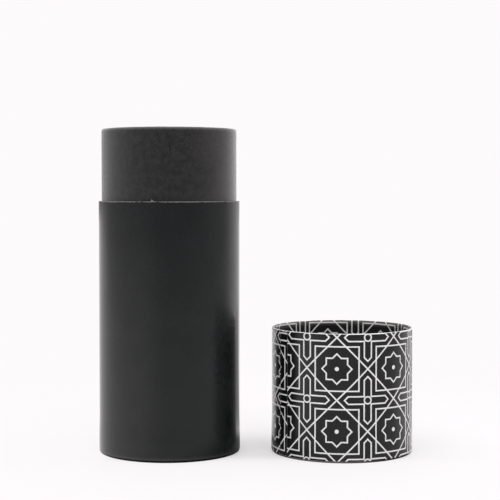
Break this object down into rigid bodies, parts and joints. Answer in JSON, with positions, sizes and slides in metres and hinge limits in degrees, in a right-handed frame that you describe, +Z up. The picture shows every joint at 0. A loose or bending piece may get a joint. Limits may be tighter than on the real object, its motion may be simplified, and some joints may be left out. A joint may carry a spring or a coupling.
{
  "type": "packaging tube",
  "caption": "Round paper tube box: matt black base with a standing charcoal neck, and a push-on lid with a white line pattern set upside down beside it.",
  "frame": {"origin": "middle of the base's foot, on the surface that the tube stands on", "axes": "+Z up along the tube's axis; -Y is the front; the lid stands beside the base, towards +X and a little towards -Y"},
  "size_m": [0.1566, 0.0724, 0.1603],
  "materials": {
    "grey_board": "matt",
    "matt_black_wrap": "matt laminated",
    "charcoal_paper": "uncoated",
    "line_print_wrap": "matt, white line print",
    "black_lining": "uncoated"
  },
  "bodies": {
    "base": {"base_tube": "grey_board", "base_wrap": "matt_black_wrap", "base_end_board": "grey_board", "base_end_paper": "matt_black_wrap", "base_floor_paper": "black_lining", "neck_tube": "grey_board", "neck_paper": "charcoal_paper", "neck_lining": "black_lining"},
    "lid": {"lid_tube": "grey_board", "lid_wrap": "line_print_wrap", "lid_end_board": "grey_board", "lid_end_paper": "line_print_wrap", "lid_floor_paper": "black_lining", "lid_lining": "black_lining"}
  },
  "joints": [
    {"name": "lid_lift", "type": "slide", "parent": "base", "child": "lid", "axis": [0, 0, 1], "range_m": [0, 0.165]}
  ]
}
